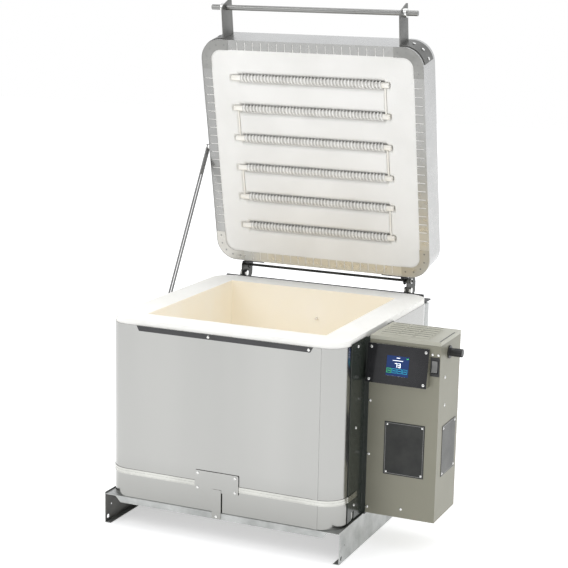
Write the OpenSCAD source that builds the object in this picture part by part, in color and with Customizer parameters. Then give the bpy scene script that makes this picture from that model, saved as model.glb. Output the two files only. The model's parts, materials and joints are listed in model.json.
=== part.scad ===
// Top-loading glass and bead annealing kiln with the heating elements in its lid.
// Millimetres, X to the right, Y to the back, Z up. The kiln stands on z = 0.
// The lid is drawn shut and then turned open about its hinge rod.

/* [Body] */
// Width of the steel-wrapped body
body_w = 560; // [520:1:600]
// Depth of the body
body_d = 560; // [540:1:600]
// Height of the underside of the shell above the floor
shell_z = 69; // [60:1:85]
// Height of the stainless shell
shell_h = 397; // [370:1:430]
// Radius of the upright corners
corner_r = 50; // [40:1:60]
// Thickness of the stainless shell
skin_t = 1.2; // [0.8:0.1:2]
// Thickness of the firebrick walls
wall_t = 64.5; // [55:0.5:66]
// Thickness of the firebrick floor
floor_t = 64; // [50:1:76]
// Height of the brick rim above the shell
rim_h = 12; // [8:1:14]

/* [Lid] */
// Thickness of the lid
lid_t = 78; // [70:1:86]
// How far the lid stands open, in degrees
lid_open = 78.2; // [60:0.1:78.2]
// Width of the inner flange that holds the board
flange_w = 24; // [20:1:28]
// Distance from one flange slit to the next
slit_pitch = 20.5; // [16:0.5:28]
// Thickness of the lid's sheet metal
sheet_t = 1; // [0.8:0.1:1.2]

/* [Elements] */
// Number of ceramic element rods
rod_count = 6; // [4:1:6]
// Diameter of a ceramic rod
rod_d = 12.7; // [10:0.1:13]
// Length of a ceramic rod
rod_len = 398; // [380:1:404]
// Distance between rods
rod_pitch = 74.8; // [60:0.1:75]
// Distance from the lid's hinge edge to the first rod
rod_first = 94; // [90:1:98]
// Diameter of the heating wire
wire_d = 2.2; // [1.8:0.1:2.4]
// Turns of wire drawn on each rod
coil_turns = 14; // [6:1:15]

/* [Hinge] */
// Distance of the hinge axis behind the body
hinge_back = 21; // [20:0.5:24]
// Height of the hinge axis above the rim
hinge_up = 26.5; // [25:0.5:30]
// Diameter of the hinge rod
hinge_d = 6.35; // [5:0.05:8]
// Distance of each hinge post from the body's side
post_inset = 62.6; // [60:0.1:80]

/* [Handle] */
// Diameter of the handle rod
handle_d = 12.7; // [10:0.1:16]
// Length of handle rod that stands out past each arm
handle_end = 36; // [25:1:48]
// Distance of each handle arm from the body's side
arm_inset = 58; // [56:1:90]
// Distance of the handle rod in front of the lid
handle_out = 69; // [60:1:80]

/* [Lid stay] */
// Width of the stay bar
stay_w = 15; // [13:0.5:18]
// Thickness of the stay bar
stay_t = 3; // [2:0.5:4]
// Distance of the stay's pivot from the hinge edge
stay_along = 285; // [270:1:300]

/* [Base] */
// How far the base stands out beyond each side of the body
base_side = 5.5; // [4:0.1:12]
// How far the base stands out in front of the body and behind it
base_lip = 2.6; // [2:0.1:10]
// Thickness of the base's sheet
base_t = 1.5; // [1:0.1:2]
// Diameter of the bolt-down holes
foot_hole_d = 10; // [6:0.5:12]

/* [Control box] */
// Width of the control box
box_w = 157.8; // [150:0.1:180]
// Depth of the control box
box_d = 138.2; // [130:0.1:160]
// Height of the control box
box_h = 398.2; // [380:0.1:420]
// Gap that keeps the box off the hot shell
box_gap = 10.2; // [8:0.1:16]
// Front of the control box, measured in front of the body's centre
box_front = 148.7; // [140:0.1:160]

/* [Hidden] */
$fn = 64;
fit = 0.3;
shaft_fit = 0.05;
screw_r = 3.4;
screw_h = 1.8;

// Body levels
shell_top = shell_z + shell_h;
rim_z = shell_top + rim_h;
floor_top = shell_z + floor_t;
core_w = body_w - 2 * (skin_t + fit);
core_d = body_d - 2 * (skin_t + fit);
core_r = corner_r - skin_t - fit;
room_w = core_w - 2 * wall_t;
room_d = core_d - 2 * wall_t;
side_x = body_w / 2;
front_y = -body_d / 2;
back_y = body_d / 2;

// Hinge and lid
hinge_y = back_y + hinge_back;
hinge_z = rim_z + hinge_up;
lid_z = rim_z + fit;
lid_top = lid_z + lid_t;
post_x = side_x - post_inset;
post_t = 3;
corner_plate_t = 0.8;
board_z = lid_z + corner_plate_t + sheet_t;
board_top = lid_top - sheet_t;
rod_z = board_z + 3.2;
coil_r = (rod_d / 2 + 0.3 + wire_d / 2) / cos(22.5);
trough_r = coil_r + wire_d / 2 + 3;
rod_x0 = -room_w / 2 + 9;
coil_x0 = rod_x0 + 23;
coil_x1 = rod_x0 + rod_len - 17;

// Lid stay: the slot slides over a fixed pin as far from the hinge as the pivot is
stay_y = back_y - stay_along;
stay_z = lid_z + 17;
stay_x = -side_x - 11.5;
stay_r = sqrt(pow(stay_y - hinge_y, 2) + pow(stay_z - hinge_z, 2));
pivot_a = atan2(stay_z - hinge_z, stay_y - hinge_y);
pin_y = hinge_y + stay_r * cos(pivot_a + 14.1);
pin_z = hinge_z + stay_r * sin(pivot_a + 14.1);
shut_span = 2 * stay_r * sin(14.1 / 2);
open_span = 2 * stay_r * sin((14.1 + lid_open) / 2);
stay_lean = atan2(pin_y - stay_y, stay_z - pin_z);
pin_r = 4;

// Handle
arm_x = side_x - arm_inset;
handle_len = 2 * (arm_x + handle_end);
arm_t = 3;
handle_z = lid_z + 36;
handle_y = front_y - handle_out;

// Base
base_w = body_w + 2 * base_side;
base_d = body_d + 2 * base_lip;
base_x = base_w / 2;
base_y = base_d / 2;
skirt_h = shell_z + 3;
foot_w = 14;
lip_h = 15;

// Rear cover
cover_x = side_x - 12;
cover_y = hinge_y + 4;
cover_z0 = shell_z + 4;
cover_z1 = shell_top - 11;

// Control box
box_x0 = side_x + box_gap;
box_x1 = box_x0 + box_w;
box_y0 = -box_front;
box_y1 = box_y0 + box_d;
box_z0 = shell_z + 7.6;
box_z1 = box_z0 + box_h;
box_t = 1.2;
bracket_t = 1.5;
bracket_z0 = shell_z + 3;
bracket_h = shell_h + 1;
bracket_screw = 34.6;
bezel_z0 = box_z1 - 98.8;
bezel_h = 83;
bezel_out = 17;
bezel_top_out = 2;
bezel_w = 136.2;
bezel_x = box_x0 - 1.6;
bezel_tilt = atan((bezel_out - bezel_top_out) / bezel_h);
panel_t = 2;
screen_w = 50;
screen_h = 43;
screen_x = 44;
screen_y = 19;
switch_x = box_x1 - 11;
switch_z = box_z1 - 53.3;
fuse_y = box_y0 + 59.7;
fuse_z = box_z1 - 31.8;
fuse_reach = 30;

// Tension band
band_z = shell_z + 60;
band_h = 12.5;
band_t = 1.5;

// The model's own box, which its origin is centred on
bolt_head = 6.5;
x_lo = stay_x - stay_t / 2 - fit - bolt_head;
x_hi = box_x1 + fuse_reach;
y_lo = -base_y - 1.6 - screw_h;
corner_y = -hinge_back;
corner_z = lid_top - hinge_z;
y_hi = hinge_y + corner_y * cos(lid_open) + corner_z * sin(lid_open);
origin = [-(x_lo + x_hi) / 2, -(y_lo + y_hi) / 2, 0];

// A rectangle with round corners
module rounded(w, d, r) {
    square([w - 2 * r, d], center = true);
    square([w, d - 2 * r], center = true);
    for (x = [-1, 1], y = [-1, 1])
        translate([x * (w / 2 - r), y * (d / 2 - r)]) circle(r);
}

// A ring between two rounded rectangles, t thick
module rounded_ring(w, d, r, t) {
    difference() {
        rounded(w, d, r);
        rounded(w - 2 * t, d - 2 * t, r - t);
    }
}

// Draws its children in the frame whose origin is under the middle of the model's box
module placed() {
    translate(origin) children();
}

// Turns what is drawn on the shut lid to where the lid stands open
module on_lid() {
    placed()
        translate([0, hinge_y, hinge_z])
            rotate([-lid_open, 0, 0])
                translate([0, -hinge_y, -hinge_z]) children();
}

// A cylinder along X from x0 to x1
module along_x(x0, x1, r) {
    translate([x0, 0, 0]) rotate([0, 90, 0]) cylinder(h = x1 - x0, r = r);
}

// A plate normal to X whose outline is given in Y and Z
module side_plate(x0, t) {
    translate([x0, 0, 0]) rotate([90, 0, 90]) linear_extrude(t) children();
}

// A screw head that points along -Y, with its seat at the origin
module screw_front() {
    rotate([90, 0, 0]) cylinder(h = screw_h, r = screw_r);
}

// A screw head that points along +X, with its seat at the origin
module screw_right() {
    rotate([0, 90, 0]) cylinder(h = screw_h, r = screw_r);
}

// Base

module skirt_outline() {
    polygon([[-base_y, 0], [base_y, 0], [base_y, skirt_h], [-base_y, skirt_h]]);
}

module base_pan() color([0.72, 0.73, 0.72]) placed() {
    difference() {
        union() {
            translate([-base_x, -base_y, shell_z - base_t]) cube([base_w, base_d, base_t]);
            for (s = [-1, 1]) {
                side_plate(s > 0 ? base_x - base_t : -base_x, base_t) skirt_outline();
                translate([s > 0 ? base_x - foot_w : -base_x, -base_y, 0])
                    cube([foot_w, base_d, base_t]);
            }
            for (y = [-base_y, base_y - base_t])
                translate([0, y + base_t, 0]) rotate([90, 0, 0]) linear_extrude(base_t)
                    polygon([[-base_x + 40, shell_z - lip_h], [base_x - 40, shell_z - lip_h],
                        [base_x - 26, shell_z], [-base_x + 26, shell_z]]);
        }
        for (s = [-1, 1]) {
            translate([0, s * (base_y - 12), 11.4]) along_x(-base_x - 1, base_x + 1, foot_hole_d / 2);
            translate([0, s * (base_y - 26.7), 36.5]) along_x(-base_x - 1, base_x + 1, 2.25);
        }
    }
}

// Firebrick chamber

probe_at = [14.2, 0, rim_z - 71.5];
probe_r = 3.2;
probe_reach = 6;

module probe_hole() {
    translate(probe_at) rotate([-90, 0, 0]) cylinder(h = body_d, r = probe_r + fit);
}

module floor_slab() color([0.95, 0.92, 0.84]) placed()
    translate([0, 0, shell_z]) linear_extrude(floor_t) rounded(core_w, core_d, core_r);

module chamber_walls() color([0.97, 0.95, 0.90]) placed() {
    difference() {
        translate([0, 0, floor_top]) linear_extrude(rim_z - floor_top) difference() {
            rounded(core_w, core_d, core_r);
            square([room_w, room_d], center = true);
        }
        probe_hole();
    }
}

// Stainless shell and what is fixed to it

module shell() color([0.78, 0.78, 0.76]) placed() {
    difference() {
        union() {
            translate([0, 0, shell_z]) linear_extrude(shell_h)
                rounded_ring(body_w, body_d, corner_r, skin_t);
            for (z = [[shell_z, band_z - band_h / 2 - fit], [band_z + band_h / 2 + fit, shell_top]])
                translate([side_x - 60, front_y - 0.8, z[0]]) cube([12, 0.8, z[1] - z[0]]);
        }
        probe_hole();
    }
}

strip_x = side_x - 71;

module front_strip() color([0.08, 0.08, 0.08]) placed()
    translate([4, front_y - 0.2, shell_top]) rotate([90, 0, 0]) linear_extrude(1.4)
        polygon([[-strip_x, 0], [-strip_x + 6, -11.5], [strip_x - 6, -11.5], [strip_x, 0]]);

module band_outline() {
    difference() {
        rounded_ring(body_w + 2 * band_t, body_d + 2 * band_t, corner_r + band_t, band_t);
        translate([-cover_x - fit, back_y - 40]) square([2 * (cover_x + fit), 60]);
        translate([side_x - 20, box_y0 - 83.3]) square([60, back_y - 60 - box_y0]);
    }
}

module tension_band() color([0.80, 0.80, 0.78]) placed() {
    translate([0, 0, band_z - band_h / 2]) {
        difference() {
            linear_extrude(band_h) band_outline();
            for (z = [1.5, band_h - 1.5 - 3.6])
                translate([0, 0, z]) linear_extrude(3.6)
                    rounded_ring(body_w + 2 * band_t + 2, body_d + 2 * band_t + 2,
                        corner_r + band_t + 1, 1 + 0.4);
        }
        translate([side_x + bracket_t + 0.2, box_y0 - 85, 0]) cube([band_t, 50, band_h]);
        translate([side_x, box_y0 - 85, 0]) cube([band_t + bracket_t + 0.2, 1.6, band_h]);
    }
}

plate_y = front_y - band_t - 0.1;

module band_plate() color([0.76, 0.76, 0.74]) placed()
    translate([-6, plate_y, band_z + 8.5]) rotate([90, 0, 0]) linear_extrude(1.2)
        rounded(106, 45, 3);

module hold_down_tab() color([0.76, 0.76, 0.74]) placed()
    translate([-5, -base_y - 1.6, shell_z - 13]) {
        translate([-11, 0, 0]) cube([22, 1.4, 66]);
        translate([-11, 0, 62]) cube([22, base_y - 1.2 + 1.6 + plate_y, 4]);
    }

module shell_screws() color([0.85, 0.85, 0.85]) placed() {
    for (x = [-51, 39], z = [-8, 25])
        translate([x, plate_y - 1.2, band_z + z]) screw_front();
    translate([-5, -base_y - 1.6, shell_z - 8]) screw_front();
    for (x = [-30, strip_x - 5])
        translate([x, front_y - 1.6, shell_top - 6]) screw_front();
    for (z = [bracket_z0 + bracket_screw, bracket_z0 + bracket_h / 2 + 8.6, bracket_z0 + bracket_h - 12.2])
        translate([side_x + bracket_t + 0.2, box_y0 - 47, z]) screw_right();
}

module rear_cover() color([0.74, 0.75, 0.74]) placed() {
    translate([0, 0, cover_z0]) linear_extrude(cover_z1 - cover_z0) difference() {
        translate([-cover_x, back_y - 40]) square([2 * cover_x, cover_y - back_y + 40]);
        translate([-cover_x + skin_t, back_y - 60])
            square([2 * (cover_x - skin_t), cover_y - back_y + 60 - skin_t]);
        rounded(body_w + fit, body_d + fit, corner_r);
    }
    translate([0, 0, cover_z1]) linear_extrude(skin_t) difference() {
        translate([-cover_x, back_y - 20]) square([2 * cover_x, cover_y - back_y + 20]);
        rounded(body_w + fit, body_d + fit, corner_r);
    }
}

rail_z = cover_z1 + skin_t;
rail_t = 3;
rail_x = side_x - 18;
rail_top = rim_z + 1.2;

module hinge_rail() color([0.10, 0.10, 0.10]) placed() {
    translate([-rail_x, back_y + 0.2, rail_z]) cube([2 * rail_x, 56, rail_t]);
    translate([-rail_x, back_y + 0.2, rail_z]) cube([2 * rail_x, rail_t, rail_top - rail_z]);
    difference() {
        for (x = [-post_x, post_x - rail_t])
            side_plate(x, rail_t) translate([back_y + 3, rail_z]) square([24, 34]);
        translate([0, back_y + 13, rail_z + 26.8]) along_x(-post_x - 1, post_x + 1, 3.2);
    }
}

module post_outline() {
    difference() {
        polygon([[back_y + 3.4, rail_z + rail_t], [back_y + 44, rail_z + rail_t],
            [back_y + 59, rail_z + 18], [back_y + 60, rail_z + 40], [back_y + 52, rail_z + 58],
            [back_y + 6, rail_z + 58], [back_y + 0.6, rail_z + 50], [back_y + 0.6, rail_top + fit],
            [back_y + 3.4, rail_top + fit]]);
        translate([hinge_y, hinge_z]) circle(hinge_d / 2 + shaft_fit);
        translate([back_y + 13, rail_z + 26.8]) circle(3.2);
    }
}

module hinge_post_left() color([0.16, 0.16, 0.15]) placed()
    side_plate(-post_x - post_t, post_t) post_outline();

module hinge_post_right() color([0.16, 0.16, 0.15]) placed()
    side_plate(post_x, post_t) post_outline();

module hinge_rod() color([0.30, 0.30, 0.30]) placed()
    translate([0, hinge_y, hinge_z]) along_x(-post_x - 10, post_x + 10, hinge_d / 2);

module hinge_nuts() color([0.55, 0.55, 0.55]) placed() {
    for (s = [0, 1]) mirror([s, 0, 0]) {
        translate([0, hinge_y, hinge_z]) difference() {
            along_x(post_x + post_t, post_x + post_t + 4, 6.5);
            along_x(post_x, post_x + 10, hinge_d / 2 + shaft_fit);
        }
        translate([0, back_y + 13, rail_z + 26.8]) {
            along_x(post_x - rail_t - 5, post_x + post_t + 1, 3.1);
            translate([post_x + post_t, 0, 0]) rotate([0, 90, 0]) cylinder(h = 7, r = 8, $fn = 6);
            translate([post_x - rail_t - 5, 0, 0]) rotate([0, 90, 0]) cylinder(h = 5, r = 8, $fn = 6);
        }
    }
}

module stay_pin() color([0.70, 0.70, 0.70]) placed()
    translate([0, pin_y, pin_z]) {
        along_x(stay_x + stay_t / 2 + fit, -side_x - 0.1, 8);
        along_x(stay_x - stay_t / 2 - 1, -side_x - 2, pin_r);
        along_x(stay_x - stay_t / 2 - fit - 4, stay_x - stay_t / 2 - fit, 7.5);
    }

module thermocouple() color([0.90, 0.88, 0.82]) placed()
    translate(probe_at) {
        translate([0, room_d / 2 - probe_reach, 0]) rotate([-90, 0, 0])
            cylinder(h = back_y - room_d / 2 + probe_reach + 2, r = probe_r);
        translate([-16, back_y + 0.3, -11]) cube([32, 12, 22]);
    }

// Control box

module box_bracket() color([0.07, 0.07, 0.07]) placed()
    translate([side_x + 0.2, box_y0, bracket_z0]) {
        difference() {
            translate([0, -83, 0]) cube([bracket_t, 84.5, bracket_h]);
            translate([-1, -60, -1]) cube([5, 14, 22]);
        }
        translate([0, 0, 0]) cube([box_gap - 0.3, bracket_t, bracket_h]);
        translate([box_gap - 0.3 - bracket_t, 0, 0]) cube([bracket_t, box_d, bracket_h]);
        translate([0, box_d - bracket_t, 0]) cube([box_gap - 0.3, bracket_t, bracket_h]);
        translate([0, box_d - bracket_t, 0]) cube([bracket_t, 34, bracket_h]);
    }

module control_box() color([0.55, 0.54, 0.49]) placed()
    difference() {
        translate([box_x0, box_y0, box_z0]) cube([box_w, box_d, box_h - 8]);
        translate([box_x0 + box_t, box_y0 + box_t, box_z0 + box_t])
            cube([box_w - 2 * box_t, box_d - 2 * box_t, box_h]);
        translate([box_x0 + 14, box_y0 - 1, bezel_z0 + 12]) cube([104, 4, bezel_h - 24]);
        translate([switch_x - 8.2, box_y0 - 1, switch_z - 18.2]) cube([16.4, 4, 36.4]);
        translate([box_x1, fuse_y, fuse_z]) along_x(-5, 5, 7 + fit);
    }

louvre_rows = 6;
louvre_cols = 3;

module louvre_cover() color([0.77, 0.76, 0.70]) placed()
    translate([box_x0 - 0.1, box_y0 - 0.1, box_z1 - 8]) {
        difference() {
            translate([0, 0, 0.1]) cube([box_w + 0.2, box_d + 0.2, 7.9]);
            translate([box_t + 0.1, box_t + 0.1, -1]) cube([box_w - 2 * box_t, box_d - 2 * box_t, 7.7]);
            for (i = [0 : louvre_cols - 1], j = [0 : louvre_rows - 1])
                translate([18 + 38 * i, 20 + 18 * j, 0]) cube([30, 4, 20]);
        }
        for (i = [0 : louvre_cols - 1], j = [0 : louvre_rows - 1])
            translate([17 + 38 * i, 22.5 + 18 * j, 8]) rotate([90, 0, 90]) linear_extrude(32)
                polygon([[-3.5, 0], [0.6, 3.2], [3.4, 4.2], [3.4, 3.4], [1.2, 2.4], [-1.8, 0]]);
    }

module bezel() color([0.50, 0.49, 0.45]) placed()
    translate([bezel_x, box_y0 - 0.1, bezel_z0]) difference() {
        rotate([90, 0, 90]) linear_extrude(bezel_w)
            polygon([[0, 0], [-bezel_out, 0], [-bezel_top_out, bezel_h], [0, bezel_h]]);
        translate([16, -bezel_out - 1, 14]) cube([102, bezel_out + 2, bezel_h - 28]);
    }

// Draws its children on the bezel's sloping face, X along it and Y up it
module on_bezel() {
    placed() translate([bezel_x, box_y0 - 0.1 - bezel_out, bezel_z0])
        rotate([90 - bezel_tilt, 0, 0]) children();
}

module display_panel() color([0.10, 0.11, 0.11]) on_bezel()
    linear_extrude(panel_t) difference() {
        square([bezel_w, bezel_h / cos(bezel_tilt)]);
        translate([screen_x, screen_y]) square([screen_w, screen_h]);
    }

module display_screen() color([0.08, 0.22, 0.55]) on_bezel()
    translate([screen_x + 0.1, screen_y + 0.1, 0.3]) cube([screen_w - 0.2, screen_h - 0.2, 1.4]);

module switch_frame() color([0.10, 0.10, 0.10]) placed()
    translate([switch_x, box_y0, switch_z]) difference() {
        union() {
            translate([-10, -2, -20.5]) cube([20, 1.9, 41]);
            translate([-8, -1, -18]) cube([16, 22, 36]);
        }
        translate([-6.3, -3, -14]) cube([12.6, 22, 28]);
    }

rocker_y = 6;

module switch_rocker() color([0.14, 0.14, 0.14]) placed()
    translate([switch_x - 6, box_y0 + rocker_y, switch_z]) rotate([-7, 0, 0])
        rotate([90, 0, 90]) linear_extrude(12)
            polygon([[2, -3], [-9, -12.5], [-12, -12.5], [-9.6, 0], [-12, 12.5], [-9, 12.5], [2, 3]]);

module fuse_holder() color([0.09, 0.09, 0.09]) placed()
    translate([box_x1, fuse_y, fuse_z]) difference() {
        union() {
            along_x(0.1, 3, 14);
            along_x(-30, 1, 7);
        }
        along_x(-26, 4, 4.5);
    }

module fuse_cap() color([0.12, 0.12, 0.12]) placed()
    translate([box_x1, fuse_y, fuse_z]) {
        difference() {
            along_x(3.3, fuse_reach, 9);
            for (a = [0 : 30 : 330])
                rotate([a, 0, 0]) translate([0, 9.4, 0]) along_x(12, fuse_reach + 1, 1.1);
        }
        along_x(-22, 4, 4.4);
    }

label_z = box_z0 + 95;
label_t = 0.8;
front_label_w = 91;
front_label_h = 118;
side_label_w = 90;
side_label_h = 113;
rivet_in = 6;

// A plate with a rivet at each corner
module rivet_plate(w, h) {
    linear_extrude(label_t) difference() {
        square([w, h]);
        for (x = [rivet_in, w - rivet_in], y = [rivet_in, h - rivet_in]) translate([x, y]) circle(1.6);
    }
    for (x = [rivet_in, w - rivet_in], y = [rivet_in, h - rivet_in])
        translate([x, y, 0]) cylinder(h = label_t + 1, r = 2.4);
}

module front_label() color([0.12, 0.12, 0.12]) placed()
    translate([box_x0 + 39, box_y0 - 0.1, label_z]) rotate([90, 0, 0])
        rivet_plate(front_label_w, front_label_h);

module side_label() color([0.35, 0.35, 0.34]) placed()
    translate([box_x1 + 0.1, box_y0 + 32.7, label_z]) rotate([90, 0, 90])
        rivet_plate(side_label_w, side_label_h);

box_screw_z = 14;
box_screw_pitch = 120;

module box_screws() color([0.85, 0.85, 0.85]) placed() {
    for (i = [0 : 2])
        translate([box_x0 + 4, box_y0, box_z0 + box_screw_z + box_screw_pitch * i]) screw_front();
    translate([box_x0 + 82, box_y0, box_z0 + 20]) screw_front();
    translate([box_x1, box_y0 + 36, box_z0 + 316]) screw_right();
    translate([box_x1, box_y0 + 40, box_z0 + 254]) screw_right();
    translate([bezel_x, box_y0 - 0.1 - bezel_out, bezel_z0]) rotate([90 - bezel_tilt, 0, 0])
        for (x = [7, bezel_w - 7], y = [7, bezel_h - 7])
            translate([x, y, panel_t]) cylinder(h = screw_h, r = screw_r);
}

module control_board() color([0.10, 0.35, 0.20]) placed()
    translate([box_x0 + 20, box_y0 + box_t + 4, bezel_z0 + 6]) {
        cube([96, 1.6, 70]);
        for (x = [4, 84], z = [4, 58]) translate([x, -4, z]) cube([8, 4, 8]);
        translate([20, 1.6, 20]) cube([56, 9, 34]);
    }

module relays() color([0.15, 0.17, 0.22]) placed()
    for (z = [0, 52])
        translate([box_x0 + box_t, box_y0 + 60, box_z0 + 190 + z]) {
            cube([26, 32, 38]);
            translate([26, 4, 6]) cube([3, 24, 26]);
        }

module terminal_block() color([0.85, 0.84, 0.80]) placed()
    translate([box_x0 + box_t, box_y0 + 40, box_z0 + 40]) difference() {
        cube([22, 70, 24]);
        for (y = [5 : 11 : 60]) translate([10, y, 12]) cube([13, 6, 13]);
    }

module transformer() color([0.40, 0.38, 0.36]) placed()
    translate([box_x0 + 66, box_y0 + 50, box_z0 + box_t]) {
        cube([56, 44, 4]);
        translate([6, 2, 4]) cube([44, 40, 12]);
        translate([14, 6, 16]) cube([28, 32, 26]);
        translate([6, 2, 42]) cube([44, 40, 10]);
    }

// Lid, drawn shut

flange_inner = 2 * flange_w;
slit_w = 2.5;
slit_l = 19;

module flange_outline() {
    difference() {
        rounded(body_w - 2 * sheet_t, body_d - 2 * sheet_t, corner_r - sheet_t);
        rounded(body_w - flange_inner, body_d - flange_inner, corner_r - flange_w);
        for (p = [-9 : 9], s = [-1, 1]) {
            translate([p * slit_pitch - slit_w / 2, s > 0 ? back_y - flange_w - 1 : front_y + flange_w - slit_l])
                square([slit_w, slit_l + 1]);
            translate([s > 0 ? side_x - flange_w - 1 : -side_x + flange_w - slit_l, p * slit_pitch - slit_w / 2])
                square([slit_l + 1, slit_w]);
        }
    }
}

module lid_band() color([0.66, 0.66, 0.65]) on_lid() {
    translate([0, 0, lid_z]) linear_extrude(lid_t - sheet_t)
        rounded_ring(body_w, body_d, corner_r, sheet_t);
    translate([0, 0, lid_z + corner_plate_t]) linear_extrude(sheet_t) flange_outline();
}

corner_leg = 72;

module corner_outline() {
    intersection() {
        difference() {
            rounded(body_w - 2 * sheet_t - 0.4, body_d - 2 * sheet_t - 0.4, corner_r - sheet_t - 0.2);
            rounded(body_w - flange_inner - 2, body_d - flange_inner - 2, corner_r - flange_w - 1);
        }
        translate([side_x - corner_leg, back_y - corner_leg]) square(corner_leg);
    }
}

module lid_corner_plates() color([0.60, 0.60, 0.59]) on_lid()
    translate([0, 0, lid_z]) {
        for (a = [0, 1], b = [0, 1]) mirror([a, 0, 0]) mirror([0, b, 0])
            linear_extrude(corner_plate_t) corner_outline();
    }

module lid_cover() color([0.72, 0.72, 0.71]) on_lid() {
    translate([0, 0, lid_top - sheet_t]) linear_extrude(sheet_t) rounded(body_w, body_d, corner_r);
    translate([0, 0, lid_top - 12]) linear_extrude(11)
        rounded_ring(body_w - 2 * sheet_t - 0.2, body_d - 2 * sheet_t - 0.2, corner_r - sheet_t - 0.1, sheet_t);
}

function rod_y(i) = back_y - rod_first - rod_pitch * i;
function jumper_x(i) = i % 2 == 0 ? rod_x0 + rod_len - 9 : rod_x0 + 11;

board_in = 2 * (2 * sheet_t + 0.3);

module lid_board() color([0.96, 0.95, 0.91]) on_lid()
    difference() {
        translate([0, 0, board_z]) linear_extrude(board_top - board_z)
            rounded(body_w - board_in, body_d - board_in, corner_r - board_in / 2);
        for (i = [0 : rod_count - 1])
            translate([0, rod_y(i), rod_z]) {
                along_x(coil_x0 - 5, coil_x1 + 5, trough_r);
                along_x(rod_x0 - fit, rod_x0 + rod_len + fit, rod_d / 2 + fit);
            }
        for (i = [0 : rod_count - 2])
            translate([jumper_x(i) - 3, rod_y(i + 1), board_z - 1]) cube([6, rod_pitch, 8]);
    }

module element_rods() color([0.93, 0.91, 0.86]) on_lid()
    for (i = [0 : rod_count - 1])
        translate([0, rod_y(i), rod_z]) along_x(rod_x0, rod_x0 + rod_len, rod_d / 2);

// A winding of heating wire: rings of points round a helix about the X axis
wire_sides = 6;
wire_steps = 8;
coil_pitch = (coil_x1 - coil_x0) / coil_turns;
slope = atan(coil_pitch / (2 * PI * coil_r));
ring_count = coil_turns * wire_steps + 1;

function ring_point(k, j) =
    let (a = 360 * k / wire_steps, b = 360 * j / wire_sides)
    let (out = coil_r + wire_d / 2 * cos(b), side = wire_d / 2 * sin(b))
    [coil_x0 + coil_pitch * k / wire_steps + side * cos(slope),
        out * cos(a) + side * sin(slope) * sin(a),
        out * sin(a) - side * sin(slope) * cos(a)];

coil_points = [for (k = [0 : ring_count - 1], j = [0 : wire_sides - 1]) ring_point(k, j)];
function ring_index(k, j) = k * wire_sides + j % wire_sides;
coil_faces = concat(
    [[for (j = [wire_sides - 1 : -1 : 0]) ring_index(0, j)]],
    [for (k = [0 : ring_count - 2], j = [0 : wire_sides - 1], h = [0, 1]) h == 0
        ? [ring_index(k, j), ring_index(k, j + 1), ring_index(k + 1, j + 1)]
        : [ring_index(k, j), ring_index(k + 1, j + 1), ring_index(k + 1, j)]],
    [[for (j = [0 : wire_sides - 1]) ring_index(ring_count - 1, j)]]);

// The least gap between two neighbouring turns of one winding
turn_gap = coil_pitch * cos(slope) - wire_d;
echo(least_gap_between_turns = turn_gap);

module element_coils() color([0.86, 0.84, 0.80]) on_lid()
    for (i = [0 : rod_count - 1])
        translate([0, rod_y(i), rod_z]) polyhedron(points = coil_points, faces = coil_faces, convexity = 8);

module element_jumpers() color([0.80, 0.78, 0.74]) on_lid()
    for (i = [0 : rod_count - 2])
        translate([jumper_x(i), rod_y(i + 1) + rod_d / 2 + 0.1, board_z + 2]) rotate([-90, 0, 0])
            cylinder(h = rod_pitch - rod_d - 0.2, r = 2);

module arm_outline() {
    difference() {
        polygon([[front_y - 0.2, lid_z + 8], [front_y - 0.2, lid_z + 62], [handle_y - 16, lid_z + 66],
            [handle_y - 17, lid_z + 60], [handle_y - 8, lid_z + 20], [handle_y - 2, lid_z + 13]]);
        translate([handle_y, handle_z]) circle(handle_d / 2 + shaft_fit);
    }
}

foot_t = 1.6;
foot_h = 56;
foot_reach = 46;

// The foot of an arm follows the band round the lid's corner
module arm_foot() {
    translate([0, 0, lid_z + 8]) linear_extrude(foot_h) intersection() {
        rounded_ring(body_w + 2 * foot_t + 0.4, body_d + 2 * foot_t + 0.4, corner_r + foot_t + 0.2, foot_t);
        translate([arm_x, front_y - 5]) square([side_x - arm_x + 5, foot_reach]);
    }
}

module handle_arm() {
    side_plate(arm_x - arm_t / 2, arm_t) arm_outline();
    arm_foot();
}

module handle_arm_left() color([0.33, 0.33, 0.32]) on_lid() mirror([1, 0, 0]) handle_arm();

module handle_arm_right() color([0.33, 0.33, 0.32]) on_lid() handle_arm();

module handle_rod() color([0.48, 0.48, 0.47]) on_lid()
    translate([0, handle_y, handle_z]) along_x(-handle_len / 2, handle_len / 2, handle_d / 2);

module handle_collars() color([0.72, 0.72, 0.70]) on_lid()
    for (s = [0, 1]) mirror([s, 0, 0]) translate([0, handle_y, handle_z]) {
        difference() {
            along_x(arm_x + arm_t / 2, arm_x + arm_t / 2 + 9, 10.5);
            along_x(arm_x, arm_x + 20, handle_d / 2 + shaft_fit);
        }
        translate([arm_x + arm_t / 2 + 4.5, 0, 10]) cylinder(h = 4, r = 2);
    }

module lid_bolts() color([0.62, 0.62, 0.60]) on_lid() {
    for (s = [0, 1], a = [18, 45, 72]) mirror([s, 0, 0])
        translate([side_x - corner_r, front_y + corner_r, lid_z + 8 + foot_h / 2]) rotate([0, 0, -a])
            along_x(corner_r + foot_t + 0.3, corner_r + foot_t + 0.3 + screw_h, screw_r + 0.6);
    for (s = [-1, 1], z = [0, 26])
        translate([s * (ear_x - 26), back_y + 3.2, lid_z + 26 + z]) rotate([-90, 0, 0])
            cylinder(h = 4, r = 5, $fn = 6);
}

ear_x = post_x - rail_t - 5 - 1.5;
ear_t = 3;

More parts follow.
